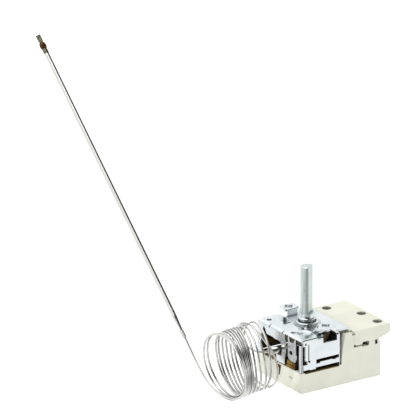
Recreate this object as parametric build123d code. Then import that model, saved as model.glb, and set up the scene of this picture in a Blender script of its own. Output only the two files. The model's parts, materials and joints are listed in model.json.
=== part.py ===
from build123d import *
import math
import os

# Capillary oven thermostat: switch body with a sheet-metal frame, a D spindle, a coiled
# capillary tube and a long rod-shaped bulb. Millimetres, +Z up along the spindle.
# Row frame: the origin is on the spindle axis, in the plane of the underside.
# Most sizes of the body are counted from its front left bottom corner ("corner frame");
# OX and OY carry them into the row frame.

# ---------------------------------------------------------------- driving dimensions
OX, OY = 14.4, 16.75            # spindle axis in the corner frame
BASE_L, BASE_W = 41.0, 33.5     # moulded base
BASE_WALL, BASE_FLOOR = 1.8, 1.8
BASE_LOW, BASE_HIGH = 9.2, 15.5  # rim height under the frame, and of the switch block
COVER_TOP, COVER_X0, COVER_X1 = 22.8, 26.4, 46.2
COVER_T = 1.9
SHEET = 0.8                     # frame sheet
FRAME_TOP = 24.3
BEND_R = 1.5                    # outside radius of the bends along the top
LUG_Z = 27.5                    # face of the fixing lugs
LUG_PITCH = 28.0                # distance of the two screw holes
LUG_HOLE_R = 1.65               # formed hole for an M4 screw
SPINDLE_R, SPINDLE_TOP = 3.0, 50.5
FLAT_FROM_AXIS = 1.6            # 4.6 mm across the D
FLAT_Z0 = 29.4
FLAT_DIR = -55.6                # direction the flat faces, degrees from +X
COLLAR_R_IN, COLLAR_R_OUT, COLLAR_TOP = 3.95, 4.9, 25.6
DRUM_R, DRUM_Z0, DRUM_Z1 = 9.8, 18.1, 21.7
CAM_R0, CAM_R1, CAM_SWEEP = 8.6, 9.6, 280.0
THREAD_R = 4.0                  # setting thread, drawn as a plain cylinder
CAPSULE_R = 9.4
FERRULE_R, FERRULE_Z, FERRULE_END = 1.6, 15.5, -18.9
PIN_R = 1.0
CAP_R = 0.5                     # capillary outside radius
COIL_R_OUT, COIL_R_IN, COIL_Z = 15.1, 13.8, 15.15
BULB_R = 1.15

P = {}


def rbox(x0, x1, y0, y1, z0, z1):
    return Pos((x0 + x1) / 2, (y0 + y1) / 2, (z0 + z1) / 2) * Box(x1 - x0, y1 - y0, z1 - z0)


def cbox(x0, x1, y0, y1, z0, z1):
    return rbox(x0 - OX, x1 - OX, y0 - OY, y1 - OY, z0, z1)


def cyl(x, y, r, z0, z1):
    return Pos(x, y, (z0 + z1) / 2) * Cylinder(r, z1 - z0)


def ccyl(x, y, r, z0, z1):
    return cyl(x - OX, y - OY, r, z0, z1)


def cyl_x(y, z, r, x0, x1):
    return Pos((x0 + x1) / 2, y, z) * Rot(0, 90, 0) * Cylinder(r, x1 - x0)


def wall_xz(points, y0, y1):
    """Closed outline in corner X and Z, thick from y0 to y1 (corner Y)."""
    pts = [Vector(x - OX, y0 - OY, z) for x, z in points]
    face = Face(Wire.make_polygon(pts, close=True))
    return Solid.extrude(face, Vector(0, y1 - y0, 0))


def wall_yz(points, x0, x1):
    """Closed outline in corner Y and Z, thick from x0 to x1 (corner X)."""
    pts = [Vector(x0 - OX, y - OY, z) for y, z in points]
    face = Face(Wire.make_polygon(pts, close=True))
    return Solid.extrude(face, Vector(x1 - x0, 0, 0))


def sector(r0, r1, a0, a1, z0, z1):
    """Ring sector about the spindle axis, angles in degrees."""
    n = max(2, int(abs(a1 - a0) / 10))
    big = r1 * 1.6
    pts = [Vector(0, 0, z0)]
    for i in range(n + 1):
        a = math.radians(a0 + (a1 - a0) * i / n)
        pts.append(Vector(big * math.cos(a), big * math.sin(a), z0))
    wedge = Solid.extrude(Face(Wire.make_polygon(pts, close=True)), Vector(0, 0, z1 - z0))
    ring = cyl(0, 0, r1, z0, z1)
    if r0 > 0:
        ring = ring - cyl(0, 0, r0, z0 - 1, z1 + 1)
    return ring & wedge


# ---------------------------------------------------------------- base housing
base = cbox(0, BASE_L, 0, BASE_W, 0, BASE_LOW) + cbox(20.5, BASE_L, 0, BASE_W, BASE_LOW - 1, BASE_HIGH)
base -= cbox(BASE_WALL, BASE_L - BASE_WALL, 2.2, BASE_W - 2.2, BASE_FLOOR, 30)
front = [(20.8, BASE_LOW - 0.7), (41.0, BASE_LOW - 0.7), (41.0, BASE_HIGH), (40.3, BASE_HIGH), (40.3, 16.7), (39.4, 16.7),
         (39.4, BASE_HIGH), (38.2, BASE_HIGH), (38.2, 16.4), (35.1, 16.4), (35.1, BASE_HIGH), (27.2, BASE_HIGH),
         (27.2, COVER_TOP - 0.6), (22.6, COVER_TOP - 0.6), (21.5, 16.7), (20.8, 10.2)]
base -= cbox(20.4, 23.0, -1, 2.3, BASE_LOW, 30)
base -= cbox(20.4, 23.0, 31.2, 34.5, BASE_LOW, 30)
base += wall_xz(front, 0, 2.2)
base += wall_xz(front, 31.3, 33.5)
# the rim is lower in the window under the cover and behind its catch
for wy0, wy1 in ((-1, 2.3), (31.2, 34.5)):
    base -= cbox(31.5, 34.9, wy0, wy1, 15.0, 16.2) + cbox(38.2, 39.4, wy0, wy1, 14.8, 16.2)
# half-round nick between the post and the cover
base -= ccyl(27.05, 0, 0.75, 21.2, 24)
# partition between the mechanism and the switch chamber
base += cbox(25.4, 26.9, 2.1, 31.4, 8.5, 20.8)
# the side walls of the block stop at the partition
base -= cbox(20.0, 25.4, 2.2, 31.3, BASE_LOW, 30)
# V notch in the left wall
base -= wall_yz([(15.2, 8.5), (18.1, 8.5), (16.9, 3.8), (16.2, 3.8)], -0.5, BASE_WALL + 0.3)
# slots for the blade terminals, and the pillars that carry their straps
TAB_Y = [(-1.65, 4.65), (7.85, 14.15)]
TAB_Z = [(3.8, 4.6), (6.9, 7.7), (11.6, 12.4)]
base += rbox(7.0, 11.0, -1.5, 4.5, 1.7, 3.8)
base += rbox(19.0, 22.0, -1.5, 4.5, 1.7, 3.8)
base += rbox(-8.0, -4.0, 8.0, 14.6, 1.7, 6.9)
base += rbox(17.0, 20.0, 8.0, 14.6, 1.7, 6.9)
base += rbox(22.0, 24.9, -1.5, 4.5, 9.0, 11.6)
base += rbox(22.0, 24.9, 8.0, 14.6, 9.0, 11.6)
for (ty0, ty1), (tz0, tz1) in ((TAB_Y[0], TAB_Z[0]), (TAB_Y[1], TAB_Z[1]), (TAB_Y[0], TAB_Z[2]), (TAB_Y[1], TAB_Z[2])):
    base -= rbox(24.5, 27.0, ty0 - 0.02, ty1 + 0.02, tz0 - 0.02, tz1 + 0.02)
# guide hole of the auxiliary plunger through the partition
base -= cyl_x(-1.0, 19.2, 1.25, 10.5, 13.0)
# blind core holes in the underside, clear of the terminals
for hx, hy in ((-10.4, -12.4), (-10.4, 12.4), (22.6, -12.4)):
    base += cyl(hx, hy, 2.2, 1.0, 5.2)
    base -= cyl(hx, hy, 1.2, -0.1, 4.0)
# small mould mark on the left face
base -= Pos(0.0 - OX, 7.8 - OY, 5.3) * Rot(0, 90, 0) * Rot(0, 0, 90) * extrude(SlotOverall(2.6, 0.5), 0.15, both=True)
base -= cbox(2.0, 19.6, -1, 2.3, 8.7, 9.3)
P["base_housing"] = base

# ---------------------------------------------------------------- switch cover
cover = wall_xz([(COVER_X0, 20.9), (27.3, 20.9), (27.3, 16.6), (28.2, 16.6), (28.4, 16.15), (31.5, 16.15), (31.9, 17.1),
                 (34.8, 17.1), (35.1, 16.45), (38.1, 16.45), (38.2, 16.8), (39.9, 16.8),
                 (COVER_X1, 18.9), (COVER_X1, COVER_TOP), (COVER_X0, COVER_TOP)], 0, BASE_W)
# hollow inside, open below
hollow = wall_xz([(27.2, 15.0), (27.2, 20.9), (44.5, 20.9), (44.5, 17.0), (41.2, 15.0)], 1.9, BASE_W - 1.9)
cover -= hollow
cover -= cbox(COVER_X0 - 1, 27.3, -1, 2.3, 15, 30)
cover -= cbox(COVER_X0 - 1, 27.3, 31.2, 34.5, 15, 30)
cover -= cbox(COVER_X0 - 1, 27.2, 1.9, 31.6, 15, 20.9)
HOLES = [(33.6, 29.95), (42.4, 16.5), (42.7, 4.9)]
for hx, hy in HOLES:
    cover += ccyl(hx, hy, 3.0, 18.8, 21.5)
for hx, hy in HOLES:
    cover -= ccyl(hx, hy, 2.1, 19.6, 24)
cover -= ccyl(27.05, 0, 0.75, 21.2, 24)
# two snap legs that reach down inside the block
cover += cbox(29.0, 32.6, 2.35, 3.5, 13.0, 21.2)
cover += cbox(29.0, 32.6, 30.0, 31.15, 13.0, 21.2)
cover += cbox(29.0, 32.6, 1.2, 3.5, 19.6, 21.2) + cbox(29.0, 32.6, 30.0, 32.3, 19.6, 21.2)
cover = cover.fillet(0.5, cover.edges().filter_by(Axis.Y).group_by(Axis.Z)[-1].sort_by(Axis.X)[-1:])
P["switch_cover"] = cover

# ---------------------------------------------------------------- sheet frame
FX0, FX1, FXR, FY0, FY1 = -0.2, 20.65, 26.0, -0.2, 34.0
FZ0 = 9.4
outer = cbox(FX0, FX1, FY0, FY1, FZ0, FRAME_TOP)
outer = fillet(outer.edges().filter_by(Axis.Z), 1.6)
outer = fillet(outer.faces().sort_by(Axis.Z)[-1].edges(), BEND_R)
inner = cbox(FX0 + SHEET, FX1 - SHEET, FY0 + SHEET, FY1 - SHEET, FZ0 - 1, FRAME_TOP - SHEET)
frame = outer - inner
# right side: only the two corner returns stay, and the top plate runs on over the drum
frame -= cbox(19.6, 22, 3.2, 30.4, FZ0 - 1, FRAME_TOP - SHEET)
frame += cbox(19.0, FXR, 2.6, 33.2, FRAME_TOP - SHEET, FRAME_TOP)
frame -= cbox(FX1 + 0.02, 27, 28.4, 35, 20, 30) & cbox(FX1 + 2.0, 27, 31.0, 35, 20, 30)
# left flange: vertical gap, strap, arch round the mechanism, triangular window
frame -= cbox(-1, 0.75, 9.87, 12.3, 9, 23.6)
frame -= cbox(-1, 0.7, 1.5, 4.0, 9, 23.6)
frame -= cbox(-1, 0.75, -0.6, 1.7, 21.8, 23.6)
frame -= cbox(-1, 0.61, 3.9, 10.0, 9, 13.0)
frame -= wall_yz([(7.9, 12.9), (10.0, 12.9), (10.0, 14.7), (9.3, 13.5)], -1, 0.61)
frame -= wall_yz([(3.9, 12.9), (5.0, 12.9), (3.9, 13.6)], -1, 0.61)
frame -= cbox(-1, 0.61, 12.2, 34.2, 9, 9.8)
arch = [(18.6, 9.0), (18.6, 12.8), (15.0, 12.8), (14.6, 13.3), (14.6, 18.4), (15.4, 19.2), (17.5, 19.4),
        (19.0, 19.2), (22.0, 19.6), (25.8, 19.5), (28.1, 22.8), (29.6, 19.2), (30.2, 18.0), (30.2, 9.0)]
frame -= wall_yz(arch, -1, 0.61)
frame -= wall_yz([(4.8, 23.5), (9.1, 23.5), (8.9, 23.0), (8.3, 21.4), (5.7, 21.4), (5.0, 23.0)], -1, 0.65)
frame -= Pos(0.2 - OX, 7.55 - OY, 16.6) * Rot(0, 90, 0) * Rot(0, 0, 90) * extrude(SlotOverall(2.4, 1.9), 1.5, both=True)
# bend darts
for dy in (14.4, 24.1):
    frame -= Pos(FX0 - OX + 0.5, dy - OY, FRAME_TOP - 0.5) * Rot(0, 45, 0) * Box(0.7, 0.5, 3.0)
# front flange: bottom gap, slot, corner slots, and the opening under the front lug
frame -= cbox(7.4, 19.5, -1, 0.61, 9, 10.85)
frame -= cbox(7.6, 19.3, -1, 0.61, 13.0, 14.4) + cbox(7.6, 9.6, -1, 0.61, 12.5, 13.2) + cbox(16.0, 18.0, -1, 0.61, 12.7, 13.2)
frame -= cbox(0.7, 2.0, -1, 0.61, 13.0, 21.4) + cbox(1.5, 3.1, -1, 0.61, 12.9, 14.6)
frame -= cbox(0.9, 4.4, -1, 0.61, 9, 10.5) + cbox(4.3, 7.5, -1, 0.61, 9, 10.2)
frame -= cbox(3.4, 3.95, -1, 0.1, 14.1, 21.8) + cbox(3.6, 4.6, -1, 0.61, 13.7, 14.5)
frame -= cbox(1.8, 2.6, -1, 0.61, 21.9, 22.7)
frame -= cbox(11.2, 18.3, -1, 1.2, 21.1, 25) + cbox(12.0, 18.3, 1.0, 5.2, 21.1, 25)
# back flange
frame -= cbox(11.0, 18.3, 28.3, 35, 21.1, 25)
frame -= cbox(3.0, 18.0, 33.0, 35, 9, 9.9)
# rolled bead on the front bend
frame += Pos(4.6 - OX, 0.58 - OY, FRAME_TOP - 0.78) * Rot(0, 90, 0) * Cylinder(0.92, 7.8)
# fixing lugs on their legs
def lug(x0, x1, y0, y1, leg_x0, leg_x1, leg_y0, leg_y1, root_y):
    plate = cbox(x0, x1, y0, y1, LUG_Z - SHEET, LUG_Z)
    plate = fillet(plate.edges().filter_by(Axis.Z), 0.7)
    leg = cbox(leg_x0, leg_x1, leg_y0, leg_y1, FRAME_TOP - SHEET, LUG_Z)
    # round the bend on the side of the spindle
    bend = leg.edges().filter_by(Axis.X).group_by(Axis.Z)[-1].sort_by(Axis.Y)
    leg = fillet(bend[-1:] if root_y > leg_y0 else bend[:1], 0.7)
    return plate + leg


frame += lug(9.8, 17.8, -0.2, 5.5, 10.0, 17.0, 5.4, 6.2, 9.0)
frame += lug(11.0, 18.4, 28.2, 33.7, 11.8, 16.8, 27.5, 28.3, 0.0)
for ly in (-LUG_PITCH / 2, LUG_PITCH / 2):
    # the screw holes are drawn down into short collars, star-cut at the mouth
    frame += cyl(0, ly, LUG_HOLE_R + 0.45, LUG_Z - 2.0, LUG_Z - 0.5)
    frame -= cyl(0, ly, LUG_HOLE_R, LUG_Z - 3, LUG_Z + 1)
    for k in range(4):
        frame -= Pos(0, ly, LUG_Z) * Rot(0, 0, 90 * k + 8) * Pos(LUG_HOLE_R + 0.1, 0, 0) * Box(1.1, 0.5, 0.9)
# collar round the spindle, with an embossed ring at its foot
frame += cyl(0, 0, 5.6, FRAME_TOP - 0.1, FRAME_TOP + 0.4)
collar = cyl(0, 0, COLLAR_R_OUT, FRAME_TOP - 0.1, COLLAR_TOP)
frame += fillet(collar.edges().group_by(Axis.Z)[-1], 0.6)
frame -= cyl(0, 0, COLLAR_R_IN, FRAME_TOP - 2, COLLAR_TOP + 1)
# small holes and the slot in the top plate
frame -= ccyl(3.2, 28.95, 1.1, 22, 25)
frame -= ccyl(3.0, 10.25, 1.15, 22, 25)
frame -= Pos(7.3 - OX, 21.3 - OY, 23.8) * Rot(0, 0, 5) * extrude(SlotOverall(3.4, 0.9), 1.5, both=True)
# stop dimple pressed down into the groove of the drum, and a shallow dish beside it
DIMPLE = (9.5, 11.8)
frame += ccyl(DIMPLE[0], DIMPLE[1], 1.25, 21.0, 23.8)
frame -= ccyl(DIMPLE[0], DIMPLE[1], 0.75, 21.8, 25)
frame -= Pos(DIMPLE[0] - OX, DIMPLE[1] - OY, 23.9) * Cone(0.75, 1.4, 1.0)
DISH = (6.6, 7.4)
DISH_R, DISH_DEPTH = 3.3, 0.9
ball = (DISH_R ** 2 + DISH_DEPTH ** 2) / (2 * DISH_DEPTH)
dish_at = Pos(DISH[0] - OX, DISH[1] - OY, FRAME_TOP + ball - DISH_DEPTH)
frame += (dish_at * Sphere(ball + 0.7)) & ccyl(DISH[0], DISH[1], DISH_R, FRAME_TOP - DISH_DEPTH - 0.72, FRAME_TOP - 0.7)
frame -= dish_at * Sphere(ball)
P["top_frame"] = frame

# ---------------------------------------------------------------- insulating carrier
carrier = rbox(-14.2, 5.2, -11.6, 14.85, BASE_LOW, 10.4)
carrier += rbox(5.0, 10.8, -9.5, 11.5, BASE_LOW, 10.4)
carrier += rbox(-14.0, -12.9, -11.6, -5.3, 10.3, 12.3)
carrier -= rbox(-15.0, -13.7, -5.3, 15.0, 9.7, 11.0)      # room for the lower edge of the left flange
carrier += cyl(0, 0, 2.6, 8.0, 11.0)
carrier += rbox(-12.5, -11.75, -4.0, 4.0, 3.0, 9.4)
# wedge that locates the carrier in the notch of the base
carrier += wall_yz([(15.5, 8.35), (17.8, 8.35), (16.8, 4.1), (16.3, 4.1)], 0.6, 2.0)
# shelf in the step of the front rim, and the upright before the partition
carrier += cbox(2.05, 19.55, 0.1, 5.3, 8.7, 9.3)
carrier += rbox(10.1, 10.8, -9.5, 11.5, 10.3, 20.6)
carrier -= cyl_x(-1.0, 19.2, 1.35, 9.5, 11.5)
carrier -= cyl(0, 0, PIN_R + 0.06, 7, 12)
P["insulating_carrier"] = carrier

# ---------------------------------------------------------------- spindle and drum
spindle = cyl(0, 0, SPINDLE_R, 21.6, SPINDLE_TOP)
spindle = spindle.chamfer(0.35, None, spindle.edges().group_by(Axis.Z)[-1])
flat = Rot(0, 0, FLAT_DIR) * rbox(FLAT_FROM_AXIS, 5, -5, 5, FLAT_Z0, SPINDLE_TOP + 1)
spindle -= flat
spindle -= Rot(0, 0, 90) * (rbox(2.3, 5, -5, 5, 20, 22.35) + rbox(-5, -2.3, -5, 5, 20, 22.35))
spindle += cyl(0, 0, 3.5, 20.9, 21.5) + (cyl(0, 0, SPINDLE_R, 21.4, 21.7) - Rot(0, 0, 90) * (rbox(2.3, 5, -5, 5, 20, 23) + rbox(-5, -2.3, -5, 5, 20, 23)))
P["spindle"] = spindle

# flared ring pressed on the foot of the spindle
P["spindle_ring"] = Solid.revolve(Face(Wire.make_polygon([Vector(SPINDLE_R, 0, 24.3), Vector(3.5, 0, 24.3), Vector(3.5, 0, 26.3),
    Vector(3.9, 0, 26.7), Vector(3.9, 0, 27.1), Vector(3.6, 0, 27.5), Vector(3.4, 0, 28.1), Vector(3.3, 0, 29.2),
    Vector(SPINDLE_R, 0, 29.3)], close=True)), 360, Axis.Z)

drum = cyl(0, 0, DRUM_R, 19.9, DRUM_Z1)
# spiral cam for the auxiliary switch, below the stop groove
cam_pts = []
N = 56
for i in range(N + 1):
    phi = CAM_SWEEP * i / N
    r = CAM_R0 + (CAM_R1 - CAM_R0) * phi / CAM_SWEEP
    cam_pts.append((r, phi))
cam_pts.append((CAM_R1, 292.0))
cam_pts.append((CAM_R0 + 0.5, 322.0))
cam_pts.append((CAM_R0, 345.0))
loop = [Vector(r * math.cos(math.radians(a)), r * math.sin(math.radians(a)), DRUM_Z0) for r, a in cam_pts]
drum += Solid.extrude(Face(Wire.make_polygon(loop, close=True)), Vector(0, 0, 19.9 - DRUM_Z0 + 0.05))
drum += cyl(0, 0, 5.5, DRUM_Z1 - 0.1, 22.9) + cyl(0, 0, 3.88, 22.8, 24.2)
# stop groove, open to the outside, with one solid block left between its ends
BLOCK_A, BLOCK_B = 158.0, 212.0
groove = cyl(0, 0, DRUM_R + 1, 20.8, 22.0) - cyl(0, 0, 5.6, 20.5, 22.6)
groove -= sector(0, DRUM_R + 2, BLOCK_A, BLOCK_B, 20.5, 22.6)
drum -= groove
drum -= cyl(0, 0, THREAD_R, DRUM_Z0 - 1, 21.5)
key = cyl(0, 0, SPINDLE_R, 21.4, 22.35) - Rot(0, 0, 90) * (rbox(2.3, 5, -5, 5, 20, 23) + rbox(-5, -2.3, -5, 5, 20, 23))
drum -= key
drum -= cyl(0, 0, SPINDLE_R, 22.35, 24.5)
P["cam_drum"] = drum

# friction washer between the drum and the top plate
P["friction_washer"] = cyl(0, 0, 5.4, 22.95, 23.45) - cyl(0, 0, 4.2, 22, 24)

# ---------------------------------------------------------------- diaphragm capsule
P["setting_screw"] = cyl(0, 0, THREAD_R - 0.06, 17.3, 20.0) - cyl(0, 0, 1.4, 18.6, 21)
cap_up = Solid.revolve(Face(Wire.make_polygon([Vector(0, 0, 13.15), Vector(CAPSULE_R, 0, 13.15), Vector(CAPSULE_R, 0, 13.5),
    Vector(CAPSULE_R - 1.3, 0, 13.5), Vector(CAPSULE_R - 2.4, 0, 13.8), Vector(4.4, 0, 13.8), Vector(3.8, 0, 13.6),
    Vector(0, 0, 13.6)], close=True)), 360, Axis.Z)
P["capsule_upper_shell"] = cap_up
cap_lo = Solid.revolve(Face(Wire.make_polygon([Vector(0, 0, 12.2), Vector(4.0, 0, 12.2), Vector(4.4, 0, 12.45), Vector(6.4, 0, 12.3),
    Vector(CAPSULE_R - 1.0, 0, 12.65), Vector(CAPSULE_R, 0, 12.75), Vector(CAPSULE_R, 0, 13.15), Vector(0, 0, 13.15)], close=True)), 360, Axis.Z)
P["capsule_lower_shell"] = cap_lo
P["diaphragm_button"] = cyl(0, 0, 2.4, 11.6, 12.2)
boss = cyl(0, 0, 3.3, 13.6, 17.3)
boss -= cyl_x(0, FERRULE_Z, FERRULE_R, -5, -1.5)
P["capsule_boss"] = boss
ferrule = cyl_x(0, FERRULE_Z, FERRULE_R, FERRULE_END, -1.5)
ferrule = ferrule.chamfer(0.25, None, ferrule.edges().sort_by(Axis.X)[:1])
P["capillary_ferrule"] = ferrule

# ---------------------------------------------------------------- thrust pin and main switch
P["thrust_pin"] = cyl(0, 0, PIN_R, 5.05, 11.5)
blade = rbox(-10.9, 9.4, -1.7, 1.7, 4.6, 4.9)
blade -= rbox(-7.0, -3.2, -0.5, 0.5, 4, 5.5) + rbox(2.6, 5.2, -0.5, 0.5, 4, 5.5)
P["snap_blade"] = blade
P["moving_contact"] = cyl(-9.0, 0, 1.5, 4.9, 5.8)
P["fixed_contact"] = cyl(-9.0, 0, 1.5, 5.95, 6.9)


def tab(x0, x1, y0, y1, z0, z1):
    blade_tab = rbox(x0, x1, y0, y1, z0, z1)
    end = blade_tab.edges().filter_by(Axis.Z).group_by(Axis.X)[-1]
    blade_tab = chamfer(end, 0.9)
    return blade_tab - cyl(x1 - 3.6, (y0 + y1) / 2, 0.85, z0 - 1, z1 + 1)


TAB_END = 34.4
P["main_terminal_in"] = tab(6.0, TAB_END, TAB_Y[0][0], TAB_Y[0][1], *TAB_Z[0])
P["main_terminal_out"] = rbox(-11.2, -6.8, -2.2, 9.0, *TAB_Z[1]) + tab(-11.2, TAB_END, TAB_Y[1][0], TAB_Y[1][1], *TAB_Z[1])

# ---------------------------------------------------------------- auxiliary switch
P["aux_plunger"] = cyl_x(-1.0, 19.2, 1.15, 8.85, 13.3) - rbox(8.0, 10.15, -3, 1, 19.75, 21)
PLUNGER_TRAVEL = CAM_R1 - CAM_R0
AUX_PIVOT = (13.75, -10.5)
aux_blade = rbox(13.6, 13.9, -12.6, 9.0, 17.2, 20.3)
P["aux_blade"] = aux_blade
P["aux_moving_contact"] = Pos(14.3, 7.0, 18.8) * Rot(0, 90, 0) * Cylinder(1.3, 0.8)
aux_in = tab(16.0, TAB_END, TAB_Y[0][0], TAB_Y[0][1], *TAB_Z[2])
aux_in += rbox(16.0, 17.6, -12.9, 4.65, *TAB_Z[2])
aux_in += rbox(14.05, 14.85, -12.9, -10.6, 11.6, 20.0) + rbox(14.05, 17.6, -12.9, -10.6, *TAB_Z[2])
P["aux_terminal_in"] = aux_in
aux_out = tab(17.35, TAB_END, TAB_Y[1][0], TAB_Y[1][1], *TAB_Z[2])
aux_out += rbox(17.35, 18.15, 5.2, 9.6, 11.6, 20.4) + rbox(17.35, 20.0, 5.2, 9.0, *TAB_Z[2])
P["aux_terminal_out"] = aux_out
P["aux_fixed_contact"] = Pos(17.05, 7.0, 18.8) * Rot(0, 90, 0) * Cylinder(1.3, 0.6)

# calibration screw beside the rear lug
CAL = (8.0, 24.4)
cal = ccyl(CAL[0], CAL[1], 0.5, 22.6, 24.4) + ccyl(CAL[0], CAL[1], 0.75, FRAME_TOP, FRAME_TOP + 1.5)
cal -= Pos(CAL[0] - OX, CAL[1] - OY, FRAME_TOP + 1.5) * Rot(0, 0, 30) * Box(3, 0.35, 0.8)
P["calibration_screw"] = cal
P["top_frame"] = P["top_frame"] - ccyl(CAL[0], CAL[1], 0.5, 20, 25)

# ---------------------------------------------------------------- capillary
def tube_along(points, radius, label):
    """Round rod along straight runs joined by tangent arcs."""
    pts = [Vector(*p) for p in points]
    radii = []
    for a, b, c in zip(pts, pts[1:], pts[2:]):
        turn = (b - a).get_angle(c - b)
        run = min((b - a).length, (c - b).length)
        radii.append(0.45 * run / math.tan(math.radians(turn) / 2))
    path = FilletPolyline(*points, radius=radii)
    direction = (pts[1] - pts[0]).normalized()
    section = Plane(origin=pts[0], z_dir=direction) * Circle(radius)
    rod = sweep(section, path=path)
    length = path.length
    print(label, "length", round(length, 2), "radii", [round(r, 1) for r in radii],
          "volume ratio", round(rod.volume / (math.pi * radius ** 2 * length), 4))
    return rod


def corner(points):
    return [(x - OX, y - OY, z) for x, y, z in points]


# The tail leaves the ferrule along -X, then turns back and up into the last turn of the coil.
TAIL = corner([(-4.5, 16.75, 15.5), (-7.6, 16.75, 15.5), (-10.4, 18.3, 15.9), (-12.0, 21.2, 16.8),
               (-12.6, 24.4, 18.3), (-12.9, 27.1, 20.2), (-13.2, 29.3, 22.6)])
P["capillary_tail"] = tube_along(TAIL, CAP_R, "capillary_tail")

coil_a, coil_b = Vector(-31.6 - OX, 12.9 - OY, COIL_Z), Vector(-8.4 - OX, 16.5 - OY, COIL_Z)
axis = (coil_b - coil_a)
coil_plane = Plane(origin=coil_a, z_dir=axis.normalized())
coil = Solid.extrude(Face(Wire.make_circle(COIL_R_OUT, coil_plane), [Wire.make_circle(COIL_R_IN, coil_plane)]), axis)
P["capillary_coil"] = coil

# The lead peels off the first turn behind the coil and climbs to the bulb.
LEAD = corner([(-31.9, 25.1, 5.4), (-32.2, 27.9, 8.0), (-32.5, 31.6, 11.6), (-32.7, 35.2, 15.4), (-33.0, 39.5, 20.3)])
P["capillary_lead"] = tube_along(LEAD, CAP_R, "capillary_lead")

# ---------------------------------------------------------------- bulb
B0 = Vector(-33.0 - OX, 39.5 - OY, 20.3)
BULB_DIR = Vector(-0.0546, 0.680, 0.731).normalized()
bulb_plane = Plane(origin=B0, z_dir=BULB_DIR)


def turned(profile):
    """Solid of revolution on the bulb axis; profile lists (radius, distance from the lead)."""
    pts = [Vector(r, 0, s) for r, s in profile]
    return bulb_plane.location * Solid.revolve(Face(Wire.make_polygon(pts, close=True)), 360, Axis.Z)


SLEEVE_L, TAPER_END, TUBE_END = 3.6, 10.6, 139.7
P["bulb_sleeve"] = turned([(0, 0), (0.75, 0), (0.95, 0.3), (0.95, SLEEVE_L), (0, SLEEVE_L)])
P["bulb_tube"] = turned([(0, SLEEVE_L), (0.72, SLEEVE_L), (0.8, 5.0), (BULB_R, TAPER_END), (BULB_R, TUBE_END), (0, TUBE_END)])
P["bulb_end_plug"] = turned([(0, TUBE_END), (1.15, TUBE_END), (1.2, TUBE_END + 0.3), (1.1, TUBE_END + 2.2), (0, TUBE_END + 2.2)])
P["bulb_braze"] = turned([(0, TUBE_END + 2.2), (1.15, TUBE_END + 2.2), (1.45, TUBE_END + 2.9), (1.5, TUBE_END + 3.8),
                          (1.25, TUBE_END + 4.8), (0.9, TUBE_END + 5.3), (0, TUBE_END + 5.3)])
# flattened and pinched filling end
tip_loc = Plane(origin=B0 + BULB_DIR * (TUBE_END + 5.3), x_dir=Vector(0.831, -0.375, 0.411), z_dir=BULB_DIR).location
tip = Pos(0, 0, 2.0) * Box(2.1, 0.9, 3.2)
tip = fillet(tip.edges().filter_by(Axis.Z), 0.3)
tip += Pos(0, 0, 0.25) * Cylinder(0.7, 0.5)
tip -= Pos(0, 0.62, 2.3) * Rot(0, 90, 0) * Cylinder(0.35, 4) + Pos(0, -0.62, 2.3) * Rot(0, 90, 0) * Cylinder(0.35, 4)
P["bulb_tip"] = tip_loc * tip

# ---------------------------------------------------------------- output
os.makedirs("parts", exist_ok=True)
for name, shape in P.items():
    shape.label = name
    export_step(shape, "parts/" + name + ".step")
    print(name, round(shape.volume, 1))
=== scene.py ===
import math
import json
import bpy
from mathutils import Vector, Matrix


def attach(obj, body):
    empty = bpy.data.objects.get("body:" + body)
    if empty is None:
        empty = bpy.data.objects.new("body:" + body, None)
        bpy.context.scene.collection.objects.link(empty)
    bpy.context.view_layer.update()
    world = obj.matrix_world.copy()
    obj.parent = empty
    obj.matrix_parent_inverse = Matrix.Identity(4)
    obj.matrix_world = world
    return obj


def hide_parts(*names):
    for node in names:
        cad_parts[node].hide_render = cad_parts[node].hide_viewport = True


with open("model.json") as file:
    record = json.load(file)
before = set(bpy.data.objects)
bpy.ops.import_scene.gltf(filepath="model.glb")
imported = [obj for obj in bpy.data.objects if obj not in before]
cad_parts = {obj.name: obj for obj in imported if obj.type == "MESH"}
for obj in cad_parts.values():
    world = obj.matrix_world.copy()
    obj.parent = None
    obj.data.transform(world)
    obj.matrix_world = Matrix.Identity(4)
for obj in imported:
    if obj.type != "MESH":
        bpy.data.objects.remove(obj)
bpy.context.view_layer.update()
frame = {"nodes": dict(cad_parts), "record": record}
NODES = frame["nodes"]
scene = bpy.context.scene

MM = 0.001
OX, OY = 14.4, 16.75


def corner(x, y, z):
    """A point counted from the front left bottom corner of the base, in mm, to the row frame in metres."""
    return Vector(((x - OX) * MM, (y - OY) * MM, z * MM))


# ------------------------------------------------------------------ camera
AZ, EL = math.radians(-34.0), math.radians(20.5)
BACK = Vector((math.sin(AZ) * math.cos(EL), -math.cos(AZ) * math.cos(EL), math.sin(EL)))
RIGHT = Vector((math.cos(AZ), math.sin(AZ), 0.0))
UP = BACK.cross(RIGHT)
TARGET = RIGHT * -0.04142 + UP * 0.07091
CAM_DIST = 6.0
cam_data = bpy.data.cameras.new("camera")
cam_data.sensor_width = 36.0
cam_data.lens = 2.34 * CAM_DIST * 1000.0 * 36.0 / 420.0
cam_data.clip_start = 0.05
cam_data.clip_end = 30.0
cam = bpy.data.objects.new("camera", cam_data)
scene.collection.objects.link(cam)
cam.location = TARGET + BACK * CAM_DIST
cam.rotation_mode = "QUATERNION"
cam.rotation_quaternion = (-BACK).to_track_quat("-Z", "Y")
scene.camera = cam

# ------------------------------------------------------------------ light
scene.view_settings.view_transform = "Standard"
world = bpy.data.worlds.new("studio")
scene.world = world
world.use_nodes = True
wt = world.node_tree
wt.nodes.clear()


def wnode(kind, **inputs):
    n = wt.nodes.new(kind)
    for k, v in inputs.items():
        n.inputs[k].default_value = v
    return n


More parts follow.
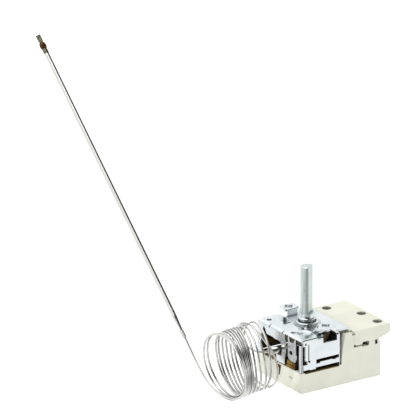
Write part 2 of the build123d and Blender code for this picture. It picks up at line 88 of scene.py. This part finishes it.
w_dir = wnode("ShaderNodeTexCoord").outputs["Generated"]
w_sep = wnode("ShaderNodeSeparateXYZ")
wt.links.new(w_dir, w_sep.inputs[0])
w_ramp = wnode("ShaderNodeValToRGB")
wt.links.new(w_sep.outputs["Z"], w_ramp.inputs[0])
stops = w_ramp.color_ramp.elements
stops[0].position, stops[0].color = 0.0, (0.62, 0.62, 0.62, 1)
stops[1].position, stops[1].color = 1.0, (1.15, 1.15, 1.15, 1)
for pos, val in ((0.15, 0.72), (0.35, 0.92), (0.6, 1.1)):
    stop = stops.new(pos)
    stop.color = (val, val * 1.005, val * 1.012, 1)


def dark_lobe(source, direction, inner, outer, level):
    """Darkens the studio round one direction, like the dark room behind a light tent's opening."""
    d = Vector(direction).normalized()
    dot = wt.nodes.new("ShaderNodeVectorMath")
    dot.operation = "DOT_PRODUCT"
    dot.inputs[1].default_value = d
    wt.links.new(w_dir, dot.inputs[0])
    mr = wt.nodes.new("ShaderNodeMapRange")
    mr.interpolation_type = "SMOOTHSTEP"
    mr.inputs["From Min"].default_value = math.cos(math.radians(outer))
    mr.inputs["From Max"].default_value = math.cos(math.radians(inner))
    mr.inputs["To Min"].default_value = 1.0
    mr.inputs["To Max"].default_value = level
    wt.links.new(dot.outputs["Value"], mr.inputs["Value"])
    mul = wt.nodes.new("ShaderNodeVectorMath")
    mul.operation = "SCALE"
    wt.links.new(source, mul.inputs[0])
    wt.links.new(mr.outputs[0], mul.inputs["Scale"])
    return mul.outputs[0]


# the dark openings show in polished metal only; the soft light stays even
w_col = dark_lobe(w_ramp.outputs[0], (0.210, -0.517, 0.830), 25, 40, 0.02)
w_col = dark_lobe(w_col, (-0.50, -0.80, 0.16), 27, 44, 0.01)
w_col = dark_lobe(w_col, (0.64, -0.32, 0.69), 12, 27, 0.02)
w_path = wnode("ShaderNodeLightPath")
w_pick = wnode("ShaderNodeMix")
w_pick.data_type = "RGBA"
wt.links.new(w_path.outputs["Is Glossy Ray"], w_pick.inputs["Factor"])
w_soft = wnode("ShaderNodeValToRGB")
wt.links.new(w_sep.outputs["Z"], w_soft.inputs[0])
w_soft.color_ramp.elements[0].color = (0.90, 0.965, 1.02, 1)
w_soft.color_ramp.elements[1].color = (1.07, 1.04, 0.97, 1)
wt.links.new(w_soft.outputs[0], w_pick.inputs["A"])
wt.links.new(w_col, w_pick.inputs["B"])
w_bg = wnode("ShaderNodeBackground", Strength=1.0)
wt.links.new(w_pick.outputs["Result"], w_bg.inputs["Color"])
w_white = wnode("ShaderNodeBackground", Strength=1.0)
w_white.inputs["Color"].default_value = (1, 1, 1, 1)
w_mix = wnode("ShaderNodeMixShader")
wt.links.new(w_path.outputs["Is Camera Ray"], w_mix.inputs[0])
wt.links.new(w_bg.outputs[0], w_mix.inputs[1])
wt.links.new(w_white.outputs[0], w_mix.inputs[2])
w_out = wnode("ShaderNodeOutputWorld")
wt.links.new(w_mix.outputs[0], w_out.inputs[0])


def area(name, loc, target, size, power, size_y=None, color=(1, 1, 1)):
    data = bpy.data.lights.new(name, "AREA")
    data.shape = "RECTANGLE"
    data.size = size
    data.size_y = size_y or size
    data.energy = power
    data.color = color
    ob = bpy.data.objects.new(name, data)
    scene.collection.objects.link(ob)
    ob.location = loc
    ob.rotation_mode = "QUATERNION"
    ob.rotation_quaternion = (Vector(target) - Vector(loc)).to_track_quat("-Z", "Y")
    return ob


area("key_top", (-0.25, -0.2, 0.9), (0, 0, 0.03), 0.5, 0.9)
area("fill_left", (-0.8, 0.1, 0.25), (0, 0, 0.03), 0.4, 2.9).visible_glossy = False


# ------------------------------------------------------------------ materials
def tree(name):
    m = bpy.data.materials.new(name)
    m.use_nodes = True
    t = m.node_tree
    t.nodes.clear()
    out = t.nodes.new("ShaderNodeOutputMaterial")
    b = t.nodes.new("ShaderNodeBsdfPrincipled")
    t.links.new(b.outputs[0], out.inputs[0])
    return m, t, b


def ramp_node(t, source, stops):
    r = t.nodes.new("ShaderNodeValToRGB")
    e = r.color_ramp.elements
    e[0].position, e[0].color = stops[0][0], (*stops[0][1], 1)
    e[1].position, e[1].color = stops[-1][0], (*stops[-1][1], 1)
    for p, c in stops[1:-1]:
        x = e.new(p)
        x.color = (*c, 1)
    t.links.new(source, r.inputs[0])
    return r


def noise(t, co, scale, detail=4.0, rough=0.5, stretch=(1, 1, 1), kind="NOISE"):
    mp = t.nodes.new("ShaderNodeMapping")
    mp.inputs["Scale"].default_value = [scale * s for s in stretch]
    t.links.new(co, mp.inputs["Vector"])
    n = t.nodes.new("ShaderNodeTexNoise")
    n.inputs["Scale"].default_value = 1.0
    n.inputs["Detail"].default_value = detail
    n.inputs["Roughness"].default_value = rough
    t.links.new(mp.outputs[0], n.inputs["Vector"])
    return n.outputs["Fac"]


def to_range(t, source, low, high):
    m = t.nodes.new("ShaderNodeMapRange")
    m.inputs["From Min"].default_value = 0.3
    m.inputs["From Max"].default_value = 0.7
    m.inputs["To Min"].default_value = low
    m.inputs["To Max"].default_value = high
    t.links.new(source, m.inputs["Value"])
    return m.outputs[0]


def bump(t, b, sources, edge=0.0):
    """Several (height, strength, distance) one on another, over edges rounded by a small radius."""
    last = None
    if edge > 0:
        bv = t.nodes.new("ShaderNodeBevel")
        bv.samples = 6
        bv.inputs["Radius"].default_value = edge
        last = bv.outputs[0]
    for height, strength, distance in sources:
        n = t.nodes.new("ShaderNodeBump")
        n.inputs["Strength"].default_value = strength
        n.inputs["Distance"].default_value = distance
        t.links.new(height, n.inputs["Height"])
        if last is not None:
            t.links.new(last, n.inputs["Normal"])
        last = n.outputs[0]
    t.links.new(last, b.inputs["Normal"])


def painted_gap_shade(t, b, color, distance, power, floor_level=0.0, local=False):
    """Colour darkened by ambient occlusion in gaps and holes: painted shade where parts crowd each other."""
    ao = t.nodes.new("ShaderNodeAmbientOcclusion")
    ao.samples = 8
    ao.inputs["Distance"].default_value = distance
    ao.only_local = local
    pw = t.nodes.new("ShaderNodeMath")
    pw.operation = "POWER"
    pw.inputs[1].default_value = power
    t.links.new(ao.outputs["AO"], pw.inputs[0])
    lift = t.nodes.new("ShaderNodeMath")
    lift.operation = "MULTIPLY_ADD"
    lift.inputs[1].default_value = 1.0 - floor_level
    lift.inputs[2].default_value = floor_level
    t.links.new(pw.outputs[0], lift.inputs[0])
    sc = t.nodes.new("ShaderNodeVectorMath")
    sc.operation = "SCALE"
    t.links.new(color, sc.inputs[0])
    t.links.new(lift.outputs[0], sc.inputs["Scale"])
    t.links.new(sc.outputs[0], b.inputs["Base Color"])


def zoned(t, co, color, rings):
    """Other tones on one side of a plane, each (axis, where it starts, where it is full, colour)."""
    for axis, start, full, tone in rings:
        sep = t.nodes.new("ShaderNodeSeparateXYZ")
        t.links.new(co, sep.inputs[0])
        mr = t.nodes.new("ShaderNodeMapRange")
        mr.inputs["From Min"].default_value = start
        mr.inputs["From Max"].default_value = full
        t.links.new(sep.outputs[axis], mr.inputs["Value"])
        mc = t.nodes.new("ShaderNodeMix")
        mc.data_type = "RGBA"
        t.links.new(mr.outputs[0], mc.inputs["Factor"])
        t.links.new(color, mc.inputs["A"])
        mc.inputs["B"].default_value = (*tone, 1)
        color = mc.outputs["Result"]
    return color


def plastic(name, dark, light, rough=(0.38, 0.5), grain=9000.0, spec=0.5, grain_bump=0.25, coat=0.0, edge=0.0002,
            gap_shade=(0.003, 1.0), rings=()):
    m, t, b = tree(name)
    co = t.nodes.new("ShaderNodeTexCoord").outputs["Object"]
    large = noise(t, co, 90.0, 3.0)
    fine = noise(t, co, grain, 2.0, 0.6)
    flow = noise(t, co, 260.0, 4.0, 0.55, (1, 3, 1))
    mix = t.nodes.new("ShaderNodeMath")
    mix.operation = "MULTIPLY_ADD"
    t.links.new(flow, mix.inputs[0])
    mix.inputs[1].default_value = 0.35
    t.links.new(large, mix.inputs[2])
    r = ramp_node(t, mix.outputs[0], [(0.45, dark), (0.9, light)])
    color = r.outputs[0]
    color = zoned(t, co, color, rings)
    # painted shade in gaps and holes
    painted_gap_shade(t, b, color, *gap_shade)
    t.links.new(to_range(t, flow, *rough), b.inputs["Roughness"])
    b.inputs["Specular IOR Level"].default_value = spec
    b.inputs["Coat Weight"].default_value = coat
    bump(t, b, [(large, 0.12, 0.0003), (fine, grain_bump, 0.00002)], edge)
    return m


def metal(name, dark, light, rough=(0.18, 0.3), lines=(1, 1, 1), line_scale=3000.0, line_bump=0.12, patch=140.0, patch_bump=0.1,
          edge=0.0, gap_shade=None, rings=()):
    m, t, b = tree(name)
    co = t.nodes.new("ShaderNodeTexCoord").outputs["Object"]
    blot = noise(t, co, patch, 5.0, 0.6)
    streak = noise(t, co, line_scale, 3.0, 0.6, lines)
    r = ramp_node(t, blot, [(0.32, dark), (0.68, light)])
    color = zoned(t, co, r.outputs[0], rings)
    # painted shade in gaps and holes, where it is set
    if gap_shade:
        painted_gap_shade(t, b, color, *gap_shade)
    else:
        t.links.new(color, b.inputs["Base Color"])
    b.inputs["Metallic"].default_value = 1.0
    mix = t.nodes.new("ShaderNodeMath")
    mix.operation = "MULTIPLY_ADD"
    t.links.new(streak, mix.inputs[0])
    mix.inputs[1].default_value = 0.5
    mix.inputs[2].default_value = 0.0
    add = t.nodes.new("ShaderNodeMath")
    add.operation = "MULTIPLY_ADD"
    t.links.new(blot, add.inputs[0])
    add.inputs[1].default_value = 0.5
    t.links.new(mix.outputs[0], add.inputs[2])
    t.links.new(to_range(t, add.outputs[0], *rough), b.inputs["Roughness"])
    bump(t, b, [(blot, patch_bump, 0.0002), (streak, line_bump, 0.00002)], edge)
    return m


# Each material's settings for gaps and holes paint shade into its colour by ambient occlusion, darker where parts crowd
# each other.
MAT = {
    "cream_plastic": plastic("cream_plastic", (0.745, 0.745, 0.640), (0.81, 0.81, 0.705), gap_shade=(0.0035, 2.2, 0.0, True)),
    "zinc_sheet": metal("zinc_sheet", (0.81, 0.87, 0.90), (0.90, 0.945, 0.965), (0.14, 0.24), (0.05, 1, 1), line_bump=0.05,
                        patch=110.0, patch_bump=0.08, edge=0.00018, gap_shade=(0.0016, 1.3)),
    # Amber: dark towards the front (row Y below -6.8 mm) and on the shelf below Z 9.3 mm, both painted shade; full
    # amber further back; lighter tan above Z 13.4 mm.
    "amber_plastic": plastic("amber_plastic", (0.08, 0.042, 0.005), (0.13, 0.07, 0.01), (0.2, 0.35), spec=0.25, gap_shade=(0.008, 3.0),
                             rings=[("Y", -0.0108, -0.0068, (0.36, 0.20, 0.010)), ("Z", 0.0095, 0.0093, (0.09, 0.055, 0.007)),
                                    ("Z", 0.0128, 0.0134, (0.58, 0.48, 0.33))]),
    # Brown: the lighter beige above Z 21.4 mm is painted light on the drum's top face.
    "brown_plastic": plastic("brown_plastic", (0.30, 0.19, 0.09), (0.42, 0.30, 0.16), (0.3, 0.45), gap_shade=(0.003, 0.8),
                             rings=[("Z", 0.0210, 0.0214, (0.60, 0.56, 0.42))]),
    "spindle_steel": metal("spindle_steel", (0.65, 0.74, 0.72), (0.75, 0.83, 0.81), (0.24, 0.36), (1, 1, 0.03), edge=0.0001,
                           gap_shade=(0.002, 1.0)),
    "spring_steel": metal("spring_steel", (0.42, 0.43, 0.45), (0.56, 0.57, 0.58), (0.2, 0.34), (0.05, 1, 1), gap_shade=(0.004, 1.5)),
    "stainless": metal("stainless", (0.84, 0.84, 0.80), (0.93, 0.93, 0.89), (0.07, 0.15), (1, 0.05, 0.05), line_bump=0.04,
                       gap_shade=(0.002, 1.2)),
    "capsule_steel": metal("capsule_steel", (0.30, 0.29, 0.26), (0.48, 0.47, 0.43), (0.2, 0.35), (1, 0.05, 0.05), line_bump=0.04,
                           gap_shade=(0.008, 2.0)),
    "capillary_steel": metal("capillary_steel", (0.76, 0.76, 0.73), (0.88, 0.88, 0.85), (0.08, 0.17), line_bump=0.04, patch_bump=0.05,
                             gap_shade=(0.0014, 1.5)),
    "tinted_steel": metal("tinted_steel", (0.13, 0.135, 0.075), (0.26, 0.28, 0.19), (0.25, 0.45), patch=700.0,
                          rings=[("Z", 0.07, 0.05, (0.84, 0.84, 0.80))]),
    "copper_braze": metal("copper_braze", (0.06, 0.03, 0.004), (0.21, 0.095, 0.042), (0.3, 0.5), patch=700.0, patch_bump=0.4),
    "brass_parts": metal("brass_parts", (0.62, 0.47, 0.20), (0.78, 0.62, 0.30), (0.2, 0.35), (0.05, 1, 1), edge=0.0001, gap_shade=(0.003, 1.2)),
    "contact_silver": metal("contact_silver", (0.74, 0.74, 0.72), (0.88, 0.88, 0.86), (0.2, 0.32), gap_shade=(0.003, 1.2)),
    "ceramic_pin": plastic("ceramic_pin", (0.80, 0.78, 0.72), (0.88, 0.87, 0.82), (0.45, 0.6)),
}

for sub in frame["record"]["subparts"]:
    ob = NODES[sub["node"]]
    slots = ob.material_slots
    if len(slots) == 0:
        ob.data.materials.append(MAT[sub["material_slot"]])
    for s in ob.material_slots:
        s.material = MAT[sub["material_slot"]]

# ------------------------------------------------------------------ capillary
# One tube: out of the ferrule, the bent last turn, twelve loose turns, then the lead up to the bulb.
CAP_D = 1.0
R_COIL = 14.6
PER_TURN = 16
TAIL = [(-4.5, 16.75, 15.5), (-7.6, 16.75, 15.5), (-10.4, 18.3, 15.9), (-12.0, 21.2, 16.8),
        (-12.6, 24.4, 18.3), (-12.9, 27.1, 20.2), (-13.2, 29.3, 22.6)]
LAST_TURN = [(-13.3, 28.6, 25.2), (-13.0, 25.4, 27.6), (-12.5, 21.0, 28.3), (-12.1, 16.4, 27.0), (-11.4, 12.2, 24.2),
             (-9.6, 9.7, 20.4), (-7.9, 8.6, 16.4), (-6.8, 8.2, 12.6), (-6.2, 8.4, 8.6), (-6.1, 9.6, 4.6), (-6.4, 11.8, 1.6),
             (-7.3, 14.4, 0.45), (-8.4, 17.6, 0.6), (-9.2, 21.6, 2.0), (-9.5, 25.4, 4.8), (-9.4, 28.6, 8.6), (-9.2, 30.4, 12.0)]
# turn, counted in halves where the left flanks differ: centre X, centre Y, yaw in degrees, radius
TURNS = {0: (-30.4, 13.0, 3.5, 14.6), 0.5: (-30.4, 13.1, 3.5, 14.6), 1: (-29.9, 13.2, 3.5, 14.6), 1.5: (-28.95, 13.35, 1.0, 14.3),
         2: (-28.6, 13.5, -1.5, 14.0), 2.5: (-25.6, 13.65, -3.7, 14.15), 3: (-26.4, 13.8, -5.9, 14.3), 3.5: (-24.9, 13.95, -7.5, 14.45),
         4: (-25.0, 14.1, -9.1, 14.6), 4.5: (-23.4, 14.25, -10.0, 14.45), 5: (-23.5, 14.4, -10.9, 14.3), 5.5: (-21.8, 14.55, -12.0, 14.45),
         6: (-21.8, 14.7, -13.1, 14.6), 6.5: (-20.2, 14.85, -14.2, 14.45), 7: (-20.3, 15.0, -15.4, 14.3), 8: (-17.8, 15.3, -18.0, 14.6),
         9: (-15.9, 15.6, -15.8, 14.4), 10: (-14.0, 15.9, -12.6, 14.6), 11: (-12.0, 16.2, -9.1, 14.4), 12: (-9.7, 16.5, -5.2, 14.6)}
LEAN = 0.13                         # the turns lean back towards the top
keys = sorted(TURNS)
coil_points = []
steps = int(11.67 * PER_TURN)
for k in range(steps + 1):
    tau = k / PER_TURN
    i = min(max(11.5 - tau, 0.0), 12.0)
    n = max(q for q in range(len(keys) - 1) if keys[q] <= i)
    f = (i - keys[n]) / (keys[n + 1] - keys[n])
    cx, cy, yaw, rad = [TURNS[keys[n]][j] * (1 - f) + TURNS[keys[n + 1]][j] * f for j in range(4)]
    phi = 2 * math.pi * tau
    if 1.0 < i < 3.0 and math.cos(phi) < 0:      # the second turn passes inside the first where they cross
        rad -= 0.8 * (1 - abs(i - 2.0)) * min(1.0, -2 * math.cos(phi))
    rad /= math.cos(math.pi / PER_TURN)
    al = math.radians(yaw)
    lean = -LEAN * rad * math.sin(phi) * min(1.0, tau / 1.5)
    coil_points.append((cx + lean - rad * math.cos(phi) * math.sin(al), cy + rad * math.cos(phi) * math.cos(al),
                        max(15.1 + rad * math.sin(phi), 0.5)))
LEAD_OUT = [(-28.8, 9.3, 0.5), (-29.9, 13.95, 0.75), (-30.8, 17.9, 1.7), (-31.4, 21.6, 3.2)]
LEAD = [(-31.9, 25.1, 5.4), (-32.2, 27.9, 8.0), (-32.5, 31.6, 11.6), (-32.7, 35.2, 15.4), (-33.0, 39.5, 20.3)]
route = [corner(*p) for p in TAIL + LAST_TURN + coil_points + LEAD_OUT + LEAD]
curve = bpy.data.curves.new("capillary", "CURVE")
curve.dimensions = "3D"
spline = curve.splines.new("NURBS")
spline.points.add(len(route) - 1)
for p, q in zip(spline.points, route):
    p.co = (*q, 1.0)
spline.order_u = 3
spline.use_endpoint_u = True
spline.resolution_u = 5
curve.bevel_depth = CAP_D / 2 * MM
curve.bevel_resolution = 4
curve.use_fill_caps = True
capillary = bpy.data.objects.new("capillary", curve)
scene.collection.objects.link(capillary)
curve.materials.append(MAT["capillary_steel"])
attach(capillary, "root")
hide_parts("capillary_tail", "capillary_coil", "capillary_lead")


# ------------------------------------------------------------------ floor
def plane(name, size, z):
    me = bpy.data.meshes.new(name)
    s = size / 2
    me.from_pydata([(-s, -s, z), (s, -s, z), (s, s, z), (-s, s, z)], [], [(0, 1, 2, 3)])
    ob = bpy.data.objects.new(name, me)
    scene.collection.objects.link(ob)
    return ob


floor = plane("floor", 6.0, -0.00002)
fm, ft, fb = tree("floor")
fb.inputs["Base Color"].default_value = (0.5, 0.5, 0.5, 1)
fb.inputs["Roughness"].default_value = 0.8
fb.inputs["Specular IOR Level"].default_value = 0.0
fb.inputs["Emission Color"].default_value = (1, 1, 1, 1)
geo = ft.nodes.new("ShaderNodeNewGeometry").outputs["Position"]
flat_pos = ft.nodes.new("ShaderNodeVectorMath")
flat_pos.operation = "MULTIPLY"
flat_pos.inputs[1].default_value = (1, 1, 0)
ft.links.new(geo, flat_pos.inputs[0])
unit = ft.nodes.new("ShaderNodeVectorMath")
unit.operation = "NORMALIZE"
ft.links.new(flat_pos.outputs[0], unit.inputs[0])
towards = ft.nodes.new("ShaderNodeVectorMath")
towards.operation = "DOT_PRODUCT"
towards.inputs[1].default_value = (-0.559, -0.829, 0.0)
ft.links.new(unit.outputs[0], towards.inputs[0])
strip = ft.nodes.new("ShaderNodeMapRange")
strip.interpolation_type = "SMOOTHSTEP"
strip.inputs["From Min"].default_value = 0.80
strip.inputs["From Max"].default_value = 0.95
strip.inputs["To Min"].default_value = 0.95
strip.inputs["To Max"].default_value = 0.42
ft.links.new(towards.outputs["Value"], strip.inputs["Value"])
path = ft.nodes.new("ShaderNodeLightPath").outputs
emit = ft.nodes.new("ShaderNodeMix")
emit.data_type = "FLOAT"
ft.links.new(path["Is Camera Ray"], emit.inputs["Factor"])
emit.inputs["A"].default_value = 0.34
emit.inputs["B"].default_value = 0.92
ft.links.new(emit.outputs["Result"], fb.inputs["Emission Strength"])
sheen = ft.nodes.new("ShaderNodeEmission")
ft.links.new(strip.outputs[0], sheen.inputs["Strength"])
pick = ft.nodes.new("ShaderNodeMixShader")
ft.links.new(path["Is Glossy Ray"], pick.inputs[0])
ft.links.new(fb.outputs[0], pick.inputs[1])
ft.links.new(sheen.outputs[0], pick.inputs[2])
out_node = [n for n in ft.nodes if n.type == "OUTPUT_MATERIAL"][0]
ft.links.new(pick.outputs[0], out_node.inputs[0])
floor.data.materials.append(fm)
